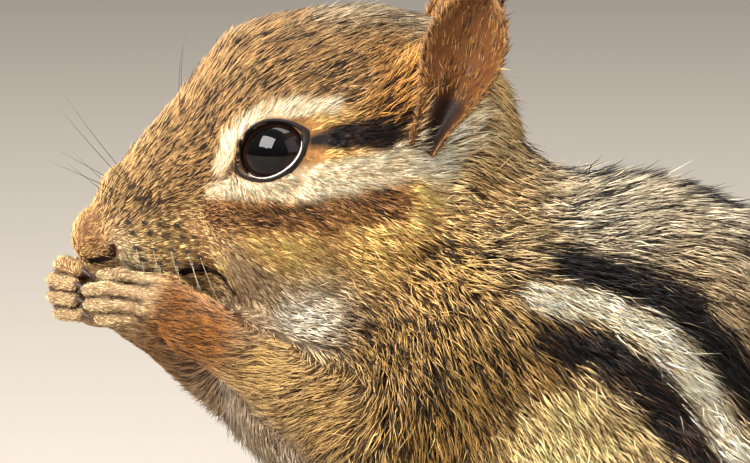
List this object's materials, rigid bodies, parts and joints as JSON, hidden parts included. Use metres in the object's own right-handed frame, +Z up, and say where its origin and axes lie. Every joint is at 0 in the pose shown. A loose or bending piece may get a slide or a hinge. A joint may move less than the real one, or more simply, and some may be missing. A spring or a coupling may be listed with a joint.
{
  "type": "eastern chipmunk, still life-size model",
  "caption": "Striped chipmunk sitting hunched on its haunches, forepaws held together at its mouth, tail laid on the floor behind.",
  "frame": {"origin": "on the floor plane, under the middle of the animal's bounding box", "axes": "+Z up, -X the way the nose points, -Y the animal's left side; the tail lies towards +X"},
  "size_m": [0.1842, 0.0466, 0.0738],
  "materials": {
    "coat": "short dense fur, tawny and grizzled, with dark and cream stripes",
    "paw_fur": "very short smooth buff fur",
    "tail_fur": "longer soft fur, brown with pale tips",
    "ear": "thin skin with fine short hair",
    "eye": "wet, glossy, almost black",
    "claw": "smooth dark horn"
  },
  "bodies": {
    "root": {"head": "coat", "neck": "coat", "torso": "coat", "eye_left": "eye", "ear_left": "ear", "upper_arm_left": "coat", "forearm_left": "coat", "hand_left": "paw_fur", "thigh_left": "coat", "shank_left": "coat", "hind_foot_left": "paw_fur", "claw_hand_left_1": "claw", "claw_hand_left_2": "claw", "claw_hand_left_3": "claw", "claw_hand_left_4": "claw", "claw_foot_left_1": "claw", "claw_foot_left_2": "claw", "claw_foot_left_3": "claw", "claw_foot_left_4": "claw", "claw_foot_left_5": "claw", "eye_right": "eye", "ear_right": "ear", "upper_arm_right": "coat", "forearm_right": "coat", "hand_right": "paw_fur", "thigh_right": "coat", "shank_right": "coat", "hind_foot_right": "paw_fur", "claw_hand_right_1": "claw", "claw_hand_right_2": "claw", "claw_hand_right_3": "claw", "claw_hand_right_4": "claw", "claw_foot_right_1": "claw", "claw_foot_right_2": "claw", "claw_foot_right_3": "claw", "claw_foot_right_4": "claw", "claw_foot_right_5": "claw", "tail_1": "tail_fur", "tail_2": "tail_fur", "tail_3": "tail_fur"}
  },
  "joints": []
}
